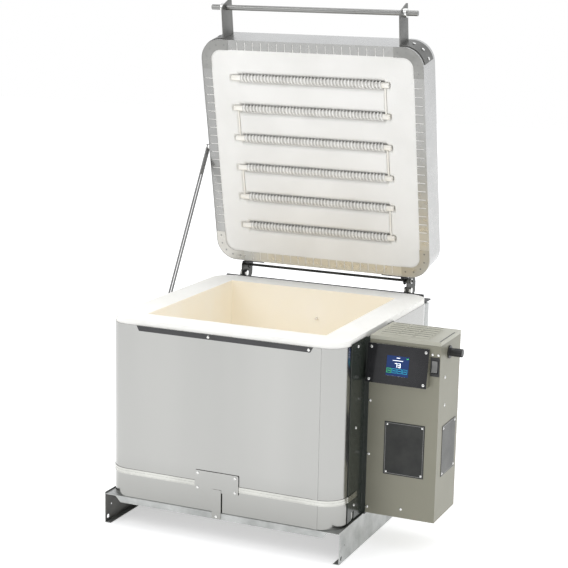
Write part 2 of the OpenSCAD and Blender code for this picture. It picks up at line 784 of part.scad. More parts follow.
module ear_outline() {
    difference() {
        union() {
            polygon([[back_y + 0.2, lid_z + 2], [back_y + 0.2, lid_z + 66], [back_y + 6, lid_z + 66],
                [hinge_y + 9, hinge_z + 4], [hinge_y + 9, hinge_z], [hinge_y, hinge_z - 10],
                [back_y + 8, lid_z + 2]]);
            translate([hinge_y, hinge_z]) circle(10);
        }
        translate([hinge_y, hinge_z]) circle(hinge_d / 2 + shaft_fit);
    }
}

module lid_hinge_plates() color([0.14, 0.14, 0.14]) on_lid()
    for (s = [0, 1]) mirror([s, 0, 0]) {
        side_plate(ear_x - ear_t, ear_t) ear_outline();
        translate([ear_x - 52, back_y + 0.2, lid_z + 2]) cube([52, 3, 64]);
    }

module stay_bolt() color([0.60, 0.60, 0.60]) on_lid()
    translate([0, stay_y, stay_z]) {
        along_x(stay_x + stay_t / 2 + fit, -side_x - 0.1, 8);
        along_x(stay_x - stay_t / 2 - 1, -side_x - 2, pin_r);
        translate([stay_x - stay_t / 2 - fit - bolt_head, 0, 0]) rotate([0, 90, 0])
            cylinder(h = bolt_head, r = 7.5, $fn = 6);
    }

// The stay bar, drawn hanging from its pivot along -Z, then turned towards the pin

module stay_outline() {
    bar_end = open_span + 20;
    difference() {
        union() {
            translate([-stay_w / 2, -bar_end + stay_w / 2]) square([stay_w, bar_end - stay_w / 2]);
            circle(stay_w / 2);
            translate([0, -bar_end + stay_w / 2]) circle(stay_w / 2);
        }
        circle(pin_r + shaft_fit);
        translate([-pin_r - 0.1, -open_span - 0.1]) square([2 * pin_r + 0.2, open_span - shut_span + 0.2]);
        translate([0, -open_span - 0.1]) circle(pin_r + 0.1);
        translate([0, -shut_span + 0.1]) circle(pin_r + 0.1);
    }
}

module lid_stay() color([0.42, 0.42, 0.42]) on_lid()
    translate([0, stay_y, stay_z]) rotate([lid_open / 2, 0, 0])
        rotate([stay_lean, 0, 0]) side_plate(stay_x - stay_t / 2, stay_t) stay_outline();

base_pan();
floor_slab();
chamber_walls();
shell();
front_strip();
tension_band();
band_plate();
hold_down_tab();
shell_screws();
rear_cover();
hinge_rail();
hinge_post_left();
hinge_post_right();
hinge_rod();
hinge_nuts();
stay_pin();
thermocouple();
box_bracket();
control_box();
louvre_cover();
bezel();
display_panel();
display_screen();
switch_frame();
switch_rocker();
fuse_holder();
fuse_cap();
front_label();
side_label();
box_screws();
control_board();
relays();
terminal_block();
transformer();
lid_band();
lid_corner_plates();
lid_cover();
lid_board();
element_rods();
element_coils();
element_jumpers();
handle_arm_left();
handle_arm_right();
handle_rod();
handle_collars();
lid_bolts();
lid_hinge_plates();
stay_bolt();
lid_stay();
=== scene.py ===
"""A top-loading bead annealing kiln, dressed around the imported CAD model."""

import json
import math

import bmesh
import bpy
from mathutils import Matrix, Vector


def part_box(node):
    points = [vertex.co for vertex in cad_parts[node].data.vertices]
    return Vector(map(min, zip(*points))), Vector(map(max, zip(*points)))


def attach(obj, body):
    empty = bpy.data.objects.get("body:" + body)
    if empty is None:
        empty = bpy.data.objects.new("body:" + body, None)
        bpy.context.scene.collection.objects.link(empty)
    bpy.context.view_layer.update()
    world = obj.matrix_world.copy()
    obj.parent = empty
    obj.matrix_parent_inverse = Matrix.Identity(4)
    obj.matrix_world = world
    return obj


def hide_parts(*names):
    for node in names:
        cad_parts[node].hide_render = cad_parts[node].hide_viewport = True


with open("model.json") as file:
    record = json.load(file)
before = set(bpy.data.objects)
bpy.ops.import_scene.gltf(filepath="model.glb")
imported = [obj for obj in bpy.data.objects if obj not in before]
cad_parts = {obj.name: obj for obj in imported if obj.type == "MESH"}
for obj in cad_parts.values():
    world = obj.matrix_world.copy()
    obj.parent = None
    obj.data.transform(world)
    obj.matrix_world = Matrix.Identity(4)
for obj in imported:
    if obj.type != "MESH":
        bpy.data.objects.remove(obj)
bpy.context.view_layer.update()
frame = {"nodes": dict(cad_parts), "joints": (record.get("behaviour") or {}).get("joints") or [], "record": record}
MM = 0.001

# Places that the frame gives

shell_low, shell_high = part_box("shell")
rim_low, rim_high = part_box("chamber_walls")
BODY_X = (shell_low.x + shell_high.x) / 2
BODY_Y = (rim_low.y + rim_high.y) / 2
lid_joint = next(j for j in frame["joints"] if j["name"] == "lid_hinge")
HINGE = Vector(lid_joint["pos_m"])
LID_TRAVEL = math.radians(lid_joint["range_deg"][1])

# OPEN_LID turns what is laid out on the shut lid to where the lid stands open at rest
OPEN_LID = Matrix.Translation(HINGE) @ Matrix.Rotation(-LID_TRAVEL, 4, "X") @ Matrix.Translation(-HINGE)
SHUT_LID = OPEN_LID.inverted()

BODIES = frame["record"]["behaviour"]["bodies"]
SLOT_OF = {s["node"]: s["material_slot"] for s in frame["record"]["subparts"]}

RIGHT = Vector((1, 0, 0))
FRONT = Vector((0, -1, 0))
BACK = Vector((0, 1, 0))
UP = Vector((0, 0, 1))

# Materials


def new_material(name):
    mat = bpy.data.materials.new(name)
    mat.use_nodes = True
    tree = mat.node_tree
    return mat, tree, tree.nodes["Principled BSDF"]


def texture_space(tree, stretch=(1, 1, 1)):
    coord = tree.nodes.new("ShaderNodeTexCoord")
    mapping = tree.nodes.new("ShaderNodeMapping")
    mapping.inputs["Scale"].default_value = stretch
    tree.links.new(coord.outputs["Object"], mapping.inputs["Vector"])
    return mapping.outputs["Vector"]


def noise(tree, space, scale, detail=3.0):
    node = tree.nodes.new("ShaderNodeTexNoise")
    node.inputs["Scale"].default_value = scale
    node.inputs["Detail"].default_value = detail
    tree.links.new(space, node.inputs["Vector"])
    return node.outputs["Fac"]


def spread(tree, value, low, high, start=0.3, end=0.7):
    """low where value is at start and high where it is at end."""
    node = tree.nodes.new("ShaderNodeMapRange")
    node.inputs["From Min"].default_value = start
    node.inputs["From Max"].default_value = end
    node.inputs["To Min"].default_value = low
    node.inputs["To Max"].default_value = high
    tree.links.new(value, node.inputs["Value"])
    return node.outputs["Result"]


def blend_colours(tree, value, colour_a, colour_b):
    ramp = tree.nodes.new("ShaderNodeValToRGB")
    ramp.color_ramp.elements[0].position = 0.32
    ramp.color_ramp.elements[1].position = 0.68
    ramp.color_ramp.elements[0].color = (*colour_a, 1)
    ramp.color_ramp.elements[1].color = (*colour_b, 1)
    tree.links.new(value, ramp.inputs["Fac"])
    return ramp.outputs["Color"]


def add_bump(tree, shader, height, distance):
    node = tree.nodes.new("ShaderNodeBump")
    node.inputs["Distance"].default_value = distance
    node.inputs["Strength"].default_value = 1.0
    tree.links.new(height, node.inputs["Height"])
    tree.links.new(node.outputs["Normal"], shader.inputs["Normal"])


def finish(name, colour_a, colour_b, metallic, rough, patch=9.0, grain=900.0, grain_depth=0.0,
           stretch=(1, 1, 1), coat=0.0, specular=0.5):
    """A surface whose colour wanders in patches and whose roughness and relief follow a fine grain."""
    mat, tree, shader = new_material(name)
    space = texture_space(tree, stretch)
    patches = noise(tree, space, patch)
    fine = noise(tree, space, grain, 2.0)
    tree.links.new(blend_colours(tree, patches, colour_a, colour_b), shader.inputs["Base Color"])
    tree.links.new(spread(tree, fine, rough[0], rough[1]), shader.inputs["Roughness"])
    shader.inputs["Metallic"].default_value = metallic
    shader.inputs["Coat Weight"].default_value = coat
    shader.inputs["Specular IOR Level"].default_value = specular
    if grain_depth:
        add_bump(tree, shader, fine, grain_depth)
    return mat


def along_axis(tree, space, axis, start, end):
    """0 at start and 1 at end, in metres along one axis of the frame."""
    split = tree.nodes.new("ShaderNodeSeparateXYZ")
    tree.links.new(space, split.inputs["Vector"])
    return spread(tree, split.outputs[axis], 0, 1, start, end)


def recolour(mat, axis, start, end, colour):
    """Turns a finish towards another colour on the way from start to end along one axis."""
    tree = mat.node_tree
    base = tree.nodes["Principled BSDF"].inputs["Base Color"]
    mix = tree.nodes.new("ShaderNodeMix")
    mix.data_type = "RGBA"
    first, second = (socket for socket in mix.inputs if socket.type == "RGBA")
    second.default_value = (*colour, 1)
    tree.links.new(base.links[0].from_socket, first)
    tree.links.new(along_axis(tree, texture_space(tree), axis, start, end), mix.inputs["Factor"])
    tree.links.new(next(socket for socket in mix.outputs if socket.type == "RGBA"), base)


def glow(shader, colour, strength):
    shader.inputs["Emission Color"].default_value = (*colour, 1)
    shader.inputs["Emission Strength"].default_value = strength


def glowing(name, colour, strength):
    mat, _, shader = new_material(name)
    shader.inputs["Base Color"].default_value = (*colour, 1)
    shader.inputs["Roughness"].default_value = 0.25
    glow(shader, colour, strength)
    return mat


# One finish for each material slot of the record, and a few of the scene's own
MATERIALS = {
    "stainless": finish("polished_stainless", (0.375, 0.375, 0.362), (0.42, 0.42, 0.405), 1.0,
                        (0.14, 0.20), 3.0, 40.0, 0.00002, (1, 1, 0.08)),
    "stainless_bright": finish("bright_strap", (0.50, 0.50, 0.47), (0.60, 0.60, 0.565), 1.0,
                               (0.18, 0.30), 12.0, 700.0, 0.00002),
    "galvanised": finish("galvanised_sheet", (0.36, 0.37, 0.36), (0.50, 0.51, 0.50), 0.85,
                         (0.34, 0.50), 26.0, 240.0, 0.00003),
    # Painted shade: a darker copy of the galvanised finish for the pan's underside and the skirts' inner faces
    "galvanised_shade": finish("galvanised_in_shade", (0.10, 0.10, 0.095), (0.17, 0.17, 0.16), 0.6,
                               (0.4, 0.55), 26.0),
    "firebrick": finish("soft_firebrick", (0.86, 0.81, 0.71), (0.93, 0.90, 0.83), 0.0,
                        (0.90, 1.0), 7.0, 420.0, 0.0006, specular=0.2),
    "rim": finish("white_brick_rim", (0.89, 0.88, 0.835), (0.94, 0.935, 0.90), 0.0,
                  (0.85, 1.0), 8.0, 480.0, 0.0005, specular=0.2),
    "lining": finish("lining_brick", (0.95, 0.885, 0.75), (0.98, 0.94, 0.85), 0.0,
                     (0.85, 1.0), 5.0, 480.0, 0.0005, specular=0.2),
    "board": finish("fibre_board", (0.79, 0.785, 0.76), (0.87, 0.865, 0.845), 0.0,
                    (0.88, 1.0), 6.0, 520.0, 0.0005, specular=0.2),
    "ceramic": finish("ceramic_tube", (0.84, 0.81, 0.74), (0.93, 0.915, 0.87), 0.0,
                      (0.45, 0.65), 30.0, 700.0, 0.00005),
    "coil_wire": finish("heating_wire", (0.80, 0.79, 0.765), (0.93, 0.925, 0.90), 0.0,
                        (0.40, 0.60), 40.0, 900.0, 0.00002),
    # A darker tube under the windings, painted shade for the gaps between the turns
    "coil_gap_shade": finish("painted_shade_tube", (0.60, 0.59, 0.56), (0.70, 0.69, 0.66), 0.0, (0.5, 0.7), 40.0),
    "black_trim": finish("gloss_black", (0.008, 0.008, 0.009), (0.02, 0.02, 0.022), 0.0,
                         (0.10, 0.22), 14.0, 500.0, 0.00002, coat=0.4),
    "black_gloss": finish("black_powder_coat", (0.020, 0.025, 0.020), (0.030, 0.036, 0.030), 0.0,
                          (0.16, 0.30), 10.0, 700.0, 0.00006),
    "black_steel": finish("black_steel", (0.012, 0.012, 0.012), (0.035, 0.035, 0.034), 0.3,
                          (0.38, 0.55), 18.0, 600.0, 0.00008),
    "dark_steel": finish("dark_oxide_steel", (0.035, 0.036, 0.033), (0.085, 0.085, 0.078), 0.7,
                         (0.36, 0.55), 22.0, 500.0, 0.0001),
    "lid_steel": finish("brushed_lid_steel", (0.47, 0.47, 0.46), (0.54, 0.54, 0.53), 1.0,
                        (0.24, 0.34), 5.0, 60.0, 0.00001),
    "flange": finish("flange_steel", (0.60, 0.595, 0.57), (0.72, 0.71, 0.67), 1.0,
                     (0.24, 0.36), 6.0, 60.0, 0.00001),
    "corner_plate": finish("corner_plate_steel", (0.24, 0.24, 0.23), (0.33, 0.33, 0.315), 1.0,
                           (0.26, 0.38), 9.0, 60.0, 0.00001),
    "arm_steel": finish("grey_arm_steel", (0.12, 0.12, 0.115), (0.21, 0.21, 0.20), 0.85,
                        (0.34, 0.50), 14.0, 420.0, 0.00006),
    "rod_steel": finish("satin_bar", (0.20, 0.20, 0.195), (0.30, 0.30, 0.29), 0.9,
                        (0.28, 0.40), 10.0, 500.0, 0.00004, (0.2, 1, 1)),
    "stay_grey": finish("grey_stay", (0.17, 0.17, 0.168), (0.23, 0.23, 0.227), 0.2, (0.45, 0.6), 12.0),
    "screws": finish("bright_zinc", (0.70, 0.70, 0.68), (0.86, 0.86, 0.84), 1.0,
                     (0.16, 0.30), 60.0, 900.0, 0.00002),
    "box_paint": finish("box_powder_coat", (0.215, 0.209, 0.161), (0.248, 0.241, 0.188), 0.25,
                        (0.36, 0.48), 5.0, 900.0, 0.00007),
    # The louvred cover's finish is the box's powder coat made lighter, painted light on its upward face
    "cover_paint_painted_light": finish("powder_coat_painted_light", (0.40, 0.395, 0.33), (0.45, 0.445, 0.375), 0.2,
                          (0.34, 0.46), 5.0),
    "black_plastic": finish("moulded_black", (0.010, 0.010, 0.010), (0.024, 0.024, 0.024), 0.0,
                            (0.32, 0.48), 30.0, 900.0, 0.00004),
    # The rocker's grey colour is a painted reflection on the black rocker, added to its real gloss
    "rocker_painted_sheen": finish("rocker_painted_sheen", (0.16, 0.16, 0.155), (0.20, 0.20, 0.195), 0.0, (0.12, 0.2), 30.0),
    "label_black": finish("dark_plate", (0.012, 0.013, 0.012), (0.028, 0.029, 0.026), 0.2,
                          (0.34, 0.48), 26.0, 700.0, 0.00004),
    "label_grey": finish("grey_plate", (0.050, 0.052, 0.048), (0.090, 0.092, 0.086), 0.4,
                         (0.34, 0.48), 26.0, 700.0, 0.00004),
    "circuit": finish("circuit_board", (0.01, 0.08, 0.03), (0.02, 0.12, 0.05), 0.0, (0.35, 0.5), 40.0),
    "screen": glowing("display_blue", (0.005, 0.026, 0.115), 0.35),
    "white_glow": glowing("digit_white", (0.9, 0.95, 1.0), 0.9),
    "cyan_glow": glowing("key_cyan", (0.02, 0.34, 0.50), 0.5),
    "green_glow": glowing("lamp_green", (0.06, 0.50, 0.12), 0.6),
}

# The chamber's brick is given a faint warm glow, painted light that stands in for the light bounced around the
# chamber
LINING_PAINTED_GLOW = 0.09
glow(MATERIALS["lining"].node_tree.nodes["Principled BSDF"], (1.0, 0.90, 0.72), LINING_PAINTED_GLOW)

# Painted shade: the shell darkens low down, where it reflects the darker floor near the kiln. The lid's flange has
# painted shade towards the handle and the left side, and its corner plates have painted light next to the hinge.
LID_BOTTOM = HINGE.z + 45 * MM
recolour(MATERIALS["stainless"], "Z", 170 * MM, 70 * MM, (0.335, 0.335, 0.32))
# Painted shade on the flange, darker towards the handle and the left side
recolour(MATERIALS["flange"], "Z", LID_BOTTOM, LID_BOTTOM + 240 * MM, (0.345, 0.345, 0.335))
recolour(MATERIALS["flange"], "X", BODY_X - 150 * MM, BODY_X - 290 * MM, (0.30, 0.30, 0.293))
# Painted light on the corner plates, lighter next to the hinge
recolour(MATERIALS["corner_plate"], "Z", LID_BOTTOM + 200 * MM, LID_BOTTOM + 60 * MM, (0.50, 0.487, 0.45))


def dress(obj, mat):
    obj.data.materials.clear()
    obj.data.materials.append(mat)


for node_name, node_object in frame["nodes"].items():
    dress(node_object, MATERIALS[SLOT_OF[node_name]])

# Mesh helpers

WELD = 0.00002
ROUND_ANGLE = 50.0


def corners_of(points):
    """Lowest and highest corner of a set of points."""
    low = Vector((min(p.x for p in points), min(p.y for p in points), min(p.z for p in points)))
    high = Vector((max(p.x for p in points), max(p.y for p in points), max(p.z for p in points)))
    return low, high


def on_shut_lid(mesh):
    return [SHUT_LID @ v.co for v in mesh.vertices]


def weigh_normals(mesh, angle):
    """Shades rounded edges smoothly while large flat faces stay flat."""
    limit = math.cos(math.radians(angle))
    around = [[] for _ in mesh.vertices]
    for polygon in mesh.polygons:
        for vertex in polygon.vertices:
            around[vertex].append(polygon)
    normals = []
    for polygon in mesh.polygons:
        for vertex in polygon.vertices:
            total = Vector((0, 0, 0))
            for other in around[vertex]:
                if other.normal.dot(polygon.normal) > limit:
                    total += other.normal * other.area
            normals.append(total.normalized() if total.length > 0 else polygon.normal)
    mesh.normals_split_custom_set(normals)


def mesh_object(name, mesh, mat, angle=ROUND_ANGLE, weighted=False):
    """An object that shades smoothly over edges up to an angle in degrees."""
    for polygon in mesh.polygons:
        polygon.use_smooth = True
    mesh.set_sharp_from_angle(angle=math.radians(angle))
    if weighted:
        weigh_normals(mesh, angle)
    obj = bpy.data.objects.new(name, mesh)
    bpy.context.scene.collection.objects.link(obj)
    dress(obj, mat)
    return obj


def stands_for(obj, node):
    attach(obj, next(body for body, members in BODIES.items() if node in members))
    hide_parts(node)


def mesh_from(bm, name):
    mesh = bpy.data.meshes.new(name)
    bm.to_mesh(mesh)
    bm.free()
    return mesh


def welded_copy(node):
    bm = bmesh.new()
    bm.from_mesh(frame["nodes"][node].data)
    bmesh.ops.remove_doubles(bm, verts=bm.verts, dist=WELD)
    return bm


def softened(node, width, segments=2, mat=None):
    """A copy of a CAD node with its hard edges rounded, which stands for the node."""
    bm = welded_copy(node)
    bmesh.ops.dissolve_limit(bm, angle_limit=math.radians(0.6), verts=bm.verts, edges=bm.edges)
    hard = [e for e in bm.edges if len(e.link_faces) == 2 and e.calc_face_angle(0) > math.radians(40)]
    bmesh.ops.bevel(bm, geom=hard, offset=width, segments=segments, profile=0.5, affect="EDGES",
                    clamp_overlap=True)
    name = node + "_dressed"
    obj = mesh_object(name, mesh_from(bm, name), mat or MATERIALS[SLOT_OF[node]], weighted=True)
    stands_for(obj, node)
    return obj


def second_finish(obj, mat, wanted):
    """Gives the faces that are wanted a finish of their own."""
    obj.data.materials.append(mat)
    for polygon in obj.data.polygons:
        if wanted(polygon):
            polygon.material_index = 1


def grid_mesh(name, rows, closed_columns=True):
    """A mesh from rows of points. Each row is a ring, and the first and last are capped, or a strip."""
    bm = bmesh.new()
    verts = [[bm.verts.new(p) for p in row] for row in rows]
    for a, b in zip(verts, verts[1:]):
        for c in range(len(a) if closed_columns else len(a) - 1):
            d = (c + 1) % len(a)
            bm.faces.new((a[c], a[d], b[d], b[c]))
    if closed_columns:
        bm.faces.new(list(reversed(verts[0])))
        bm.faces.new(verts[-1])
    bmesh.ops.recalc_face_normals(bm, faces=bm.faces)
    return mesh_from(bm, name)


def ring(centre, first, second, radius, sides):
    """Points around a centre, from the first direction towards the second."""
    turns = [2 * math.pi * k / sides for k in range(sides)]
    return [centre + (first * math.cos(a) + second * math.sin(a)) * radius for a in turns]


def block(low, high):
    """A closed box from one corner to the other."""
    sides = ((low.y, low.z), (high.y, low.z), (high.y, high.z), (low.y, high.z))
    return grid_mesh("block", [[Vector((x, y, z)) for y, z in sides] for x in (low.x, high.x)])


def join_meshes(name, parts):
    bm = bmesh.new()
    for part in parts:
        bm.from_mesh(part)
    return mesh_from(bm, name)


def extra_piece(name, parts, mat, body, placed=None):
    """A piece that stands for no node. placed moves it to where it goes."""
    mesh = join_meshes(name, parts)
    if placed:
        mesh.transform(placed)
    obj = mesh_object(name, mesh, MATERIALS[mat])
    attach(obj, body)


def island_boxes(node):
    """Lowest and highest corner of each separate solid in a node."""
    bm = welded_copy(node)
    seen = set()
    boxes = []
    for start in bm.verts:
        if start in seen:
            continue
        stack = [start]
        seen.add(start)
        points = []
        while stack:
            v = stack.pop()
            points.append(v.co.copy())
            for e in v.link_edges:
                other = e.other_vert(v)
                if other not in seen:
                    seen.add(other)
                    stack.append(other)
        boxes.append(corners_of(points))
    bm.free()
    return boxes


# Camera, at the photograph's viewing angle

CAMERA_AT = Vector((BODY_X + 1404.8 * MM, BODY_Y - 3136.7 * MM, 1234.9 * MM))
CAMERA_YAW = math.radians(23.81)
CAMERA_PITCH = math.radians(11.604)
CAMERA_ROLL = math.radians(1.158)
FOCAL_PIXELS = 1534.73
FRAME_PIXELS = 568
SENSOR = 36.0

to_camera = Vector((math.sin(CAMERA_YAW) * math.cos(CAMERA_PITCH),
                    -math.cos(CAMERA_YAW) * math.cos(CAMERA_PITCH), math.sin(CAMERA_PITCH)))
level_right = (-to_camera).cross(UP).normalized()
level_up = level_right.cross(-to_camera)
camera_right = level_right * math.cos(CAMERA_ROLL) + level_up * math.sin(CAMERA_ROLL)
camera_up = level_up * math.cos(CAMERA_ROLL) - level_right * math.sin(CAMERA_ROLL)
camera_data = bpy.data.cameras.new("camera")
camera_data.sensor_width = SENSOR
camera_data.lens = FOCAL_PIXELS / FRAME_PIXELS * SENSOR
camera_data.clip_end = 50.0
camera = bpy.data.objects.new("camera", camera_data)
bpy.context.scene.collection.objects.link(camera)
rotation = Matrix((camera_right, camera_up, to_camera)).transposed().to_4x4()
camera.matrix_world = Matrix.Translation(CAMERA_AT) @ rotation
bpy.context.scene.camera = camera

# Windings of heating wire around a ceramic core, with as many turns as the photograph shows

ROD_GAP = 20 * MM
COIL_TURNS = 42
COIL_STEPS = 14
WIRE_SIDES = 6
WIRE_R = 1.7 * MM
COIL_R = 8.3 * MM
COIL_R_WANDER = 0.02
COIL_PITCH_WANDER = 0.35 * MM
SLEEVE_R = 6.42 * MM
SLEEVE_SIDES = 24
coil_low, coil_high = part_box("element_coils")
COIL_LEFT = coil_low.x + 1 * MM
COIL_RIGHT = coil_high.x - 1 * MM


def rod_lines():
    """Each rod on the shut lid: its left end, its right end, and the y and z of its middle line."""
    groups = []
    for point in sorted(on_shut_lid(frame["nodes"]["element_rods"].data), key=lambda p: p.y):
        if not groups or point.y - groups[-1][-1].y > ROD_GAP:
            groups.append([])
        groups[-1].append(point)
    boxes = [corners_of(group) for group in groups]
    return [(low.x, high.x, (low.y + high.y) / 2, (low.z + high.z) / 2) for low, high in boxes]


RODS = rod_lines()


def winding(index, y, z):
    """One helix of wire, a little uneven, as real windings are."""
    pitch = (COIL_RIGHT - COIL_LEFT) / COIL_TURNS
    rows = []
    for k in range(COIL_TURNS * COIL_STEPS + 1):
        turn = k / COIL_STEPS
        radial = Vector((0, math.cos(2 * math.pi * turn), math.sin(2 * math.pi * turn)))
        shift = COIL_PITCH_WANDER * math.sin(turn * 1.7 + index * 2)
        radius = COIL_R * (1 + COIL_R_WANDER * math.sin(turn * 2.1 + index))
        centre = Vector((COIL_LEFT + pitch * turn + shift, y, z)) + radial * radius
        rows.append(ring(centre, radial, RIGHT, WIRE_R, WIRE_SIDES))
    return grid_mesh("winding", rows)


windings = join_meshes("element_windings", [winding(i, y, z) for i, (_, _, y, z) in enumerate(RODS)])
windings.transform(OPEN_LID)
stands_for(mesh_object("element_windings", windings, MATERIALS["coil_wire"], 60), "element_coils")

# Painted shade: a grey sleeve over each rod under its winding darkens the gaps between the turns
shade_sleeves = []
for _, _, rod_y, rod_z in RODS:
    sleeve_ends = [Vector((x, rod_y, rod_z)) for x in (COIL_LEFT, COIL_RIGHT)]
    shade_sleeves.append(grid_mesh("core", [ring(end, BACK, UP, SLEEVE_R, SLEEVE_SIDES) for end in sleeve_ends]))
extra_piece("element_shade_sleeves", shade_sleeves, "coil_gap_shade", "lid", OPEN_LID)

# Heads of screws and rivets. A profile gives shares of the radius and height, from the top to the rim.

SCREW_PROFILE = [(0.42, 0.55), (0.46, 1.0), (0.62, 0.97), (0.84, 0.78), (0.97, 0.4), (1.0, 0.0)]
RIVET_PROFILE = [(0.22, 0.98), (0.5, 0.86), (0.75, 0.64), (0.92, 0.36), (1.0, 0.0)]
SCREW_R = 3.4 * MM
SCREW_H = 1.8 * MM
SCREW_SIDES = 24
RIVET_SIDES = 20

# The bezel and what is on it lean back by 15 in 83
BEZEL_SLOPE = math.atan2(15, 83)
BEZEL_OUT = Vector((0, -math.cos(BEZEL_SLOPE), math.sin(BEZEL_SLOPE)))
BEZEL_UP = Vector((0, math.sin(BEZEL_SLOPE), math.cos(BEZEL_SLOPE)))
bezel_low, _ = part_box("bezel")


def head(seat, out, radius, height, profile, sides=RIVET_SIDES):
    """A domed head that sits at seat and faces out."""
    rows = [ring(UP * (height * h), RIGHT, BACK, radius * r, sides) for r, h in profile]
    mesh = grid_mesh("head", rows)
    mesh.transform(Matrix.Translation(seat) @ UP.rotation_difference(out).to_matrix().to_4x4())
    return mesh


def head_facing(low, high):
    """Which way a CAD screw faces, told by the proportions of its box."""
    size = high - low
    if size.x < size.y * 0.8:
        return RIGHT
    middle = (low + high) / 2
    by_bezel = middle.z > bezel_low.z and middle.x > bezel_low.x
    if by_bezel and size.z > size.y * 1.1 and size.y > SCREW_H * 1.3:
        return BEZEL_OUT
    return FRONT


for screw_node in ("shell_screws", "box_screws"):
    heads = []
    for low, high in island_boxes(screw_node):
        out = head_facing(low, high)
        seat = (low + high) / 2 - out * SCREW_H / 2
        heads.append(head(seat, out, SCREW_R, SCREW_H, SCREW_PROFILE, SCREW_SIDES))
    head_name = screw_node + "_heads"
    stands_for(mesh_object(head_name, join_meshes(head_name, heads), MATERIALS["screws"]), screw_node)

# Rounded copies of the nodes whose edges show, with the rounding in millimetres

SOFT_EDGES = {
    "base_pan": 0.5, "front_strip": 0.4, "band_plate": 0.4, "hold_down_tab": 0.4,
    "rear_cover": 0.5, "hinge_rail": 0.6, "hinge_post_left": 0.6, "hinge_post_right": 0.6,
    "stay_pin": 0.6, "box_bracket": 0.5, "control_box": 1.1, "louvre_cover": 0.45, "bezel": 0.6,
    "display_panel": 0.4, "switch_frame": 0.5, "switch_rocker": 0.5, "fuse_holder": 0.5, "fuse_cap": 0.4,
    "lid_cover": 0.45, "handle_arm_left": 0.6, "handle_arm_right": 0.6, "handle_rod": 0.9,
    "handle_collars": 0.7, "lid_bolts": 0.5, "lid_hinge_plates": 0.6, "stay_bolt": 0.6, "lid_stay": 0.5,
    "element_rods": 1.6, "hinge_nuts": 0.5,
}
# The louvred cover's lighter paint is painted light, and the rocker's grey is a painted reflection
OWN_FINISH = {"louvre_cover": "cover_paint_painted_light", "lid_stay": "stay_grey", "band_plate": "stainless",
              "hold_down_tab": "stainless", "switch_rocker": "rocker_painted_sheen"}
dressed = {}
for soft_node, rounding in SOFT_EDGES.items():
    own = MATERIALS[OWN_FINISH[soft_node]] if soft_node in OWN_FINISH else None
    dressed[soft_node] = softened(soft_node, rounding * MM, 2, own)

# Painted highlight: the display panel's upper edge takes the bright zinc finish
second_finish(dressed["display_panel"], MATERIALS["screws"], lambda polygon: polygon.normal.z > 0.8)

ROOM_HALF = 216.5 * MM
LEAST_TURN = 0.09


def looks_into_chamber(polygon):
    to_axis = Vector((BODY_X - polygon.center.x, BODY_Y - polygon.center.y, 0))
    inside = max(abs(to_axis.x), abs(to_axis.y)) < ROOM_HALF
    return inside and polygon.normal.dot(to_axis) > LEAST_TURN * to_axis.length


def is_under_pan(polygon):
    """Whether a face of the base pan looks down, or inward from a skirt."""
    inward = polygon.normal.x * (BODY_X - polygon.center.x) > 0.1
    return polygon.normal.z < -0.7 or inward and abs(polygon.normal.x) > 0.7


walls = softened("chamber_walls", 2.2 * MM, 3, MATERIALS["rim"])
second_finish(walls, MATERIALS["lining"], looks_into_chamber)
# Painted shade on the pan's downward faces and the skirts' inner faces
second_finish(dressed["base_pan"], MATERIALS["galvanised_shade"], is_under_pan)

# Lid: the flange is the band's lowest part when the lid is shut

FLANGE_DEEP = 3 * MM
band = softened("lid_band", 0.35 * MM, 1)
band_low, band_high = corners_of(on_shut_lid(band.data))


def is_flange(polygon):
    return (SHUT_LID @ polygon.center).z < band_low.z + FLANGE_DEEP


second_finish(band, MATERIALS["flange"], is_flange)
softened("lid_corner_plates", 0.25 * MM, 1, MATERIALS["corner_plate"])

# Fibre board: wide soft grooves carry the rods and windings. A groove has half a width and a depth.

GROOVES = {"coil": (20 * MM, 15.2 * MM), "rod": (13 * MM, 11.2 * MM), "jumper": (6 * MM, 5 * MM)}
JUMPER_REACH = 40 * MM
BOARD_CORNER = 47.7 * MM
CORNER_STEPS = 12
COIL_CELLS = 12
GROOVE_CELLS = 9
BESIDE_ROD = 30 * MM
LEAST_CELL = 0.9 * MM

jumpers = []
for low, high in island_boxes("element_jumpers"):
    middle = SHUT_LID @ ((low + high) / 2)
    jumpers.append((middle.x, middle.y))


def fall(share):
    """1 at a share of 0, falling softly to 0 at a share of 1."""
    return math.cos(math.pi / 2 * min(1, share)) ** 2


def valley(offset, kind):
    half_width, deep = GROOVES[kind]
    return deep * fall(abs(offset) / half_width)


def within(value, low, high, distance):
    """1 between low and high, falling softly to 0 over the given distance outside."""
    return fall(max(low - value, value - high, 0) / distance)


def groove_depth(x, y):
    deepest = 0.0
    for rod_left, rod_right, rod_y, _ in RODS:
        if abs(y - rod_y) < GROOVES["coil"][0]:
            along_coil = within(x, coil_low.x - 3 * MM, coil_high.x + 3 * MM, 7 * MM)
            along_rod = within(x, rod_left - 1 * MM, rod_right + 1 * MM, 5 * MM)
            deepest = max(deepest, valley(y - rod_y, "coil") * along_coil,
                          valley(y - rod_y, "rod") * along_rod)
    for jumper_x, jumper_y in jumpers:
        if abs(x - jumper_x) < GROOVES["jumper"][0] and abs(y - jumper_y) < JUMPER_REACH:
            deepest = max(deepest, valley(x - jumper_x, "jumper"))
    return deepest


def spaced(places):
    """Sorted places with none too near its neighbour."""
    kept = []
    for place in sorted(places):
        if not kept or place - kept[-1] > LEAST_CELL:
            kept.append(place)
    return kept


